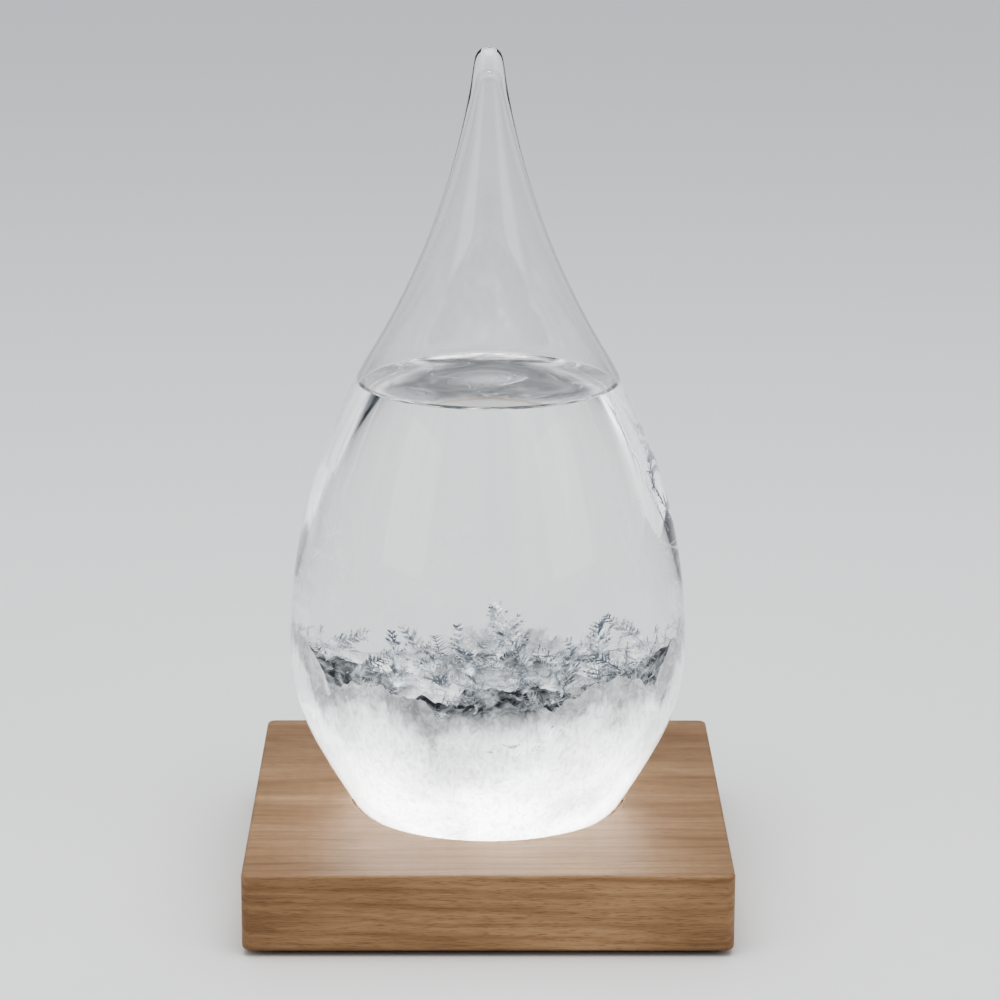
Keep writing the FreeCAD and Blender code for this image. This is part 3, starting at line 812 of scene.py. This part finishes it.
def make_feather(rng, number, material):
    """One of the tall feathers: a main frond along its CAD blade and two side fronds."""
    node = f"crystal_feather_{number:02d}"
    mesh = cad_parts[node].data
    spots = np.array([vertex.co for vertex in mesh.vertices])
    middle = spots.mean(axis=0)
    _, _, ways = np.linalg.svd(spots - middle, full_matrices=False)
    along = ways[0] if ways[0][2] > 0 else -ways[0]
    spread = (spots - middle) @ along
    foot, tip = middle + spread.min() * along, middle + spread.max() * along
    length = float(np.linalg.norm(tip - foot))
    needles = Needles()
    main = grow_fern(rng, 15, 3, 0.25)
    place_fern(needles, main, foot - 0.10 * length * along, along, rng.uniform(0, 3.1), 1.2 * length)
    for turn in (1.4, -1.4):
        lean = Vector(along) + Vector((rng.gauss(0, 0.45), rng.gauss(0, 0.45), 0))
        place_fern(needles, grow_fern(rng, 11, 2, 0.28), foot, lean, turn, rng.uniform(0.4, 0.65) * length)
    for _ in range(2):
        lean = along + np.array((rng.gauss(0, 0.55), rng.gauss(0, 0.55), 0.1))
        reach = rng.uniform(0.75, 1.0) * length
        needles.add(foot[None], (foot + reach * lean / np.linalg.norm(lean))[None], np.array([0.16 * MM]))
    feather = needles.build(f"{node}_frond", material)
    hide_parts(node)


def make_crystals():
    """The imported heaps, the small feathers on them and the tall ones."""
    rng = random.Random(SEED)
    # Colours: dense crystal, pale crystal, and the painted shade of the gaps; then patch size, glow and the
    # glow of loose patches.
    packed = make_crystal_material(
        "packed_crystals", (0.95, 0.955, 0.96), (0.52, 0.55, 0.57), (0.030, 0.038, 0.050), 6 * MM, 1.7, 0.10
    )
    fine = make_crystal_material(
        "feather_crystals", (0.95, 0.955, 0.96), (0.90, 0.92, 0.93), (0.16, 0.21, 0.27), 5 * MM, 0.45, 0.32
    )
    loosen_edge([make_packed_heap(node, packed) for node in HEAP_NODES])
    ferns = [grow_fern(rng, rng.choice((8, 9, 11)), rng.choice((0, 1))) for _ in range(16)]
    for node in HEAP_NODES:
        cover_heap(rng, node, ferns, fine)
    for number in range(1, 13):
        make_feather(rng, number, fine)


# ---- base, feet and closure -----------------------------------------------------------------

def dress(node, material):
    """Gives a CAD node a finished material."""
    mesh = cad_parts[node].data
    mesh.materials.clear()
    mesh.materials.append(material)


# Beech: the width of a growth ring, and the pith's place in Y and Z.
RING_WIDTH = 3.4 * MM
PITH = (0.035, -0.095)


def make_beech_material():
    """Steamed beech with its grain along X: growth rings round a pith below the block, darker
    streaks, the short brown flecks of its rays, fine pores, and a worn satin oil finish.
    """
    material, nodes, links, shader = new_material("beech")
    place = nodes.new("ShaderNodeTexCoord").outputs["Object"]
    split = nodes.new("ShaderNodeSeparateXYZ")
    links.new(place, split.inputs["Vector"])
    from_pith_y = link_math(nodes, links, "SUBTRACT", split.outputs["Y"], PITH[0])
    from_pith_z = link_math(nodes, links, "SUBTRACT", split.outputs["Z"], PITH[1])
    squares = link_math(
        nodes, links, "ADD",
        link_math(nodes, links, "MULTIPLY", from_pith_y, from_pith_y),
        link_math(nodes, links, "MULTIPLY", from_pith_z, from_pith_z),
    )
    reach = link_math(nodes, links, "SQRT", squares)
    drift = link_noise(nodes, links, stretched(nodes, links, place, 0.09, 0.028, 0.028), 2.0)
    wander = link_math(nodes, links, "MULTIPLY", drift, 9 * MM)
    ring_phase = link_math(
        nodes, links, "MULTIPLY", link_math(nodes, links, "ADD", reach, wander), 2 * math.pi / RING_WIDTH
    )
    rings = link_math(nodes, links, "SINE", ring_phase)
    rings = link_math(nodes, links, "MULTIPLY_ADD", rings, 0.5)
    rings.node.inputs[2].default_value = 0.5

    streaks = link_noise(nodes, links, stretched(nodes, links, place, 0.05, 0.0022, 0.0022), 5.0, 0.6)
    pores = link_noise(nodes, links, stretched(nodes, links, place, 0.0045, 0.00022, 0.00022), 3.0, 0.6)
    broad = link_noise(nodes, links, stretched(nodes, links, place, 0.06, 0.018, 0.018), 2.0)

    flecks = nodes.new("ShaderNodeTexVoronoi")
    flecks.inputs["Scale"].default_value = 1.0
    flecks.inputs["Randomness"].default_value = 1.0
    links.new(stretched(nodes, links, place, 0.0042, 0.0009, 0.0008), flecks.inputs["Vector"])
    fleck_mask = link_ramp(nodes, links, flecks.outputs["Distance"], (0.10, 1.0), (0.30, 0.0))
    chance = nodes.new("ShaderNodeSeparateColor")
    links.new(flecks.outputs["Color"], chance.inputs["Color"])
    chosen = link_math(nodes, links, "GREATER_THAN", chance.outputs["Red"], 0.45)
    fleck_share = link_math(nodes, links, "MULTIPLY", fleck_mask, chosen)
    fleck_share = link_math(nodes, links, "MULTIPLY", fleck_share, 0.62)

    ground = link_ramp(
        nodes, links, broad, (0.30, (0.29, 0.178, 0.096)), (0.52, (0.37, 0.240, 0.137)),
        (0.75, (0.45, 0.305, 0.182)),
    )
    ringed = link_mix(
        nodes, links, "MULTIPLY", 1.0, ground,
        link_ramp(
            nodes, links, rings,
            (0.0, (0.86, 0.82, 0.78)), (0.55, (1.0, 1.0, 1.0)), (1.0, (0.95, 0.93, 0.91)),
        ),
    )
    streaked = link_mix(
        nodes, links, "MULTIPLY", 1.0, ringed,
        link_ramp(nodes, links, streaks, (0.32, (0.80, 0.76, 0.71)), (0.60, (1.04, 1.03, 1.02))),
    )
    pored = link_mix(
        nodes, links, "MULTIPLY", 1.0, streaked,
        link_ramp(nodes, links, pores, (0.34, (0.74, 0.70, 0.66)), (0.50, (1.0, 1.0, 1.0))),
    )
    flecked = link_mix(nodes, links, "MIX", fleck_share, pored, (0.27, 0.125, 0.052))
    links.new(flecked, shader.inputs["Base Color"])

    roughness = link_math(nodes, links, "MULTIPLY_ADD", streaks, 0.22)
    roughness.node.inputs[2].default_value = 0.36
    links.new(roughness, shader.inputs["Roughness"])
    open_pores = link_ramp(nodes, links, pores, (0.30, 0.0), (0.48, 1.0))
    height = link_math(nodes, links, "SUBTRACT", open_pores, fleck_share)
    bump = nodes.new("ShaderNodeBump")
    bump.inputs["Strength"].default_value = 0.35
    bump.inputs["Distance"].default_value = 0.06 * MM
    links.new(height, bump.inputs["Height"])
    links.new(bump.outputs["Normal"], shader.inputs["Normal"])
    return material


def make_plain_soft_material(name, colour, roughness, grain):
    """A soft matt stuff, such as felt or silicone, with a fine mottle and bump."""
    material, nodes, links, shader = new_material(name)
    place = nodes.new("ShaderNodeTexCoord")
    mottle = nodes.new("ShaderNodeTexNoise")
    mottle.inputs["Scale"].default_value = 1 / grain
    mottle.inputs["Detail"].default_value = 4.0
    ramp = nodes.new("ShaderNodeValToRGB")
    ramp.color_ramp.elements[0].color = (*[0.7 * share for share in colour], 1)
    ramp.color_ramp.elements[1].color = (*[min(1, 1.25 * share) for share in colour], 1)
    bump = nodes.new("ShaderNodeBump")
    bump.inputs["Strength"].default_value = 0.6
    bump.inputs["Distance"].default_value = 0.3 * grain
    links.new(place.outputs["Object"], mottle.inputs["Vector"])
    links.new(mottle.outputs["Fac"], ramp.inputs["Fac"])
    links.new(ramp.outputs["Color"], shader.inputs["Base Color"])
    links.new(mottle.outputs["Fac"], bump.inputs["Height"])
    links.new(bump.outputs["Normal"], shader.inputs["Normal"])
    shader.inputs["Roughness"].default_value = roughness
    return material


def make_base():
    """The block, its felt pads, and the plug and seal under the drop, on their CAD meshes."""
    dress("base_block", make_beech_material())
    felt = make_plain_soft_material("felt", (0.05, 0.045, 0.04), 0.95, 0.5 * MM)
    for number in range(1, 5):
        dress(f"foot_pad_{number}", felt)
    dress("fill_stopper", make_plain_soft_material("silicone", (0.75, 0.75, 0.72), 0.45, 3 * MM))
    dress("stopper_seal", make_plain_soft_material("sealant", (0.66, 0.68, 0.68), 0.3, 2 * MM))


def main():
    SCENE.view_settings.look = CONTRAST_LOOK
    SCENE.view_settings.exposure = EXPOSURE
    make_camera()
    make_stage()
    make_base()
    make_glass()
    make_liquid()
    make_crystals()


main()
